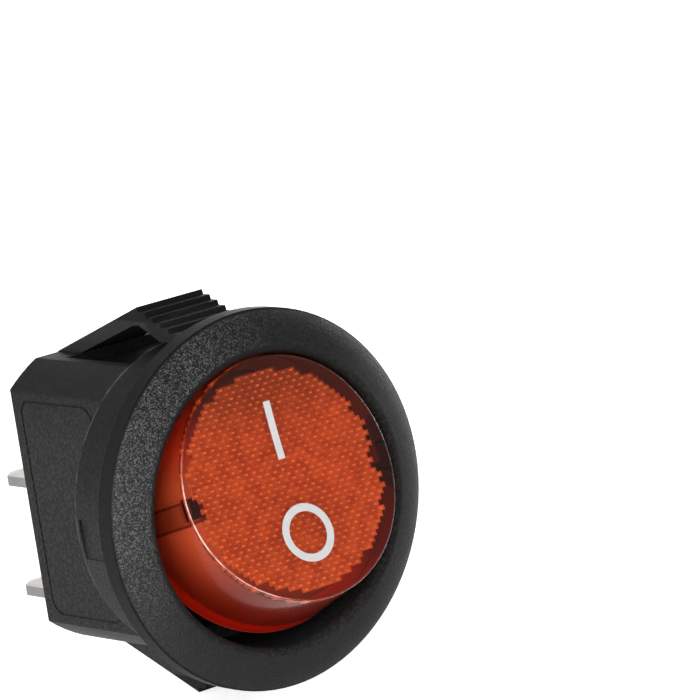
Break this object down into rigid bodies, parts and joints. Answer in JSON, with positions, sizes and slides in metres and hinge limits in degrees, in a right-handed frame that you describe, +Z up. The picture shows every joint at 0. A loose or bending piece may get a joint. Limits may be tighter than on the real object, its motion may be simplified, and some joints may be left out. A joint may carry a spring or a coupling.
{
  "type": "panel rocker switch",
  "caption": "Round snap-in panel rocker switch: clear red button rocking in a black bezel, two snap arms, and two flat solder terminals at the rear.",
  "frame": {"origin": "centre of the flange's back face, where the panel's front skin sits", "axes": "+X to the right seen from the front, +Y to the rear along the barrel, +Z up with the line mark above the ring mark"},
  "size_m": [0.018, 0.024, 0.0188],
  "materials": {
    "black_nylon": "fine spark-eroded texture, smooth on the rim and flats",
    "clear_red": "polished and clear, with a pyramid pattern under the face",
    "white_acetal": "smooth",
    "spring_steel": "drawn wire",
    "brass": "stamped strip",
    "silver_alloy": "satin",
    "nickel_plate": "nickel plated over brass, satin, with bare sheared edges by the housing"
  },
  "bodies": {
    "body": {"housing": "black_nylon", "common_terminal": "nickel_plate", "load_terminal": "nickel_plate", "fixed_contact": "silver_alloy"},
    "rocker": {"rocker_button": "clear_red", "plunger_spring": "spring_steel"},
    "plunger": {"plunger": "white_acetal"},
    "lever": {"contact_lever": "brass", "moving_contact": "silver_alloy"}
  },
  "joints": [
    {"name": "rocker_hinge", "type": "hinge", "parent": "body", "child": "rocker", "pos_m": [0, 0.0012, 0], "axis": [1, 0, 0], "range_deg": [0, 31]},
    {"name": "plunger_slide", "type": "slide", "parent": "rocker", "child": "plunger", "axis": [0, 0.9636, -0.2672], "range_m": [-0.001, 0], "stiffness_N_per_m": 150, "deforming": ["plunger_spring"]},
    {"name": "lever_hinge", "type": "hinge", "parent": "body", "child": "lever", "pos_m": [0, 0.00801, 0], "axis": [1, 0, 0], "range_deg": [-16.2, 0]}
  ],
  "couplings": [
    {"joint": "lever_hinge", "follows": "rocker_hinge", "ratio": -0.51613}
  ]
}
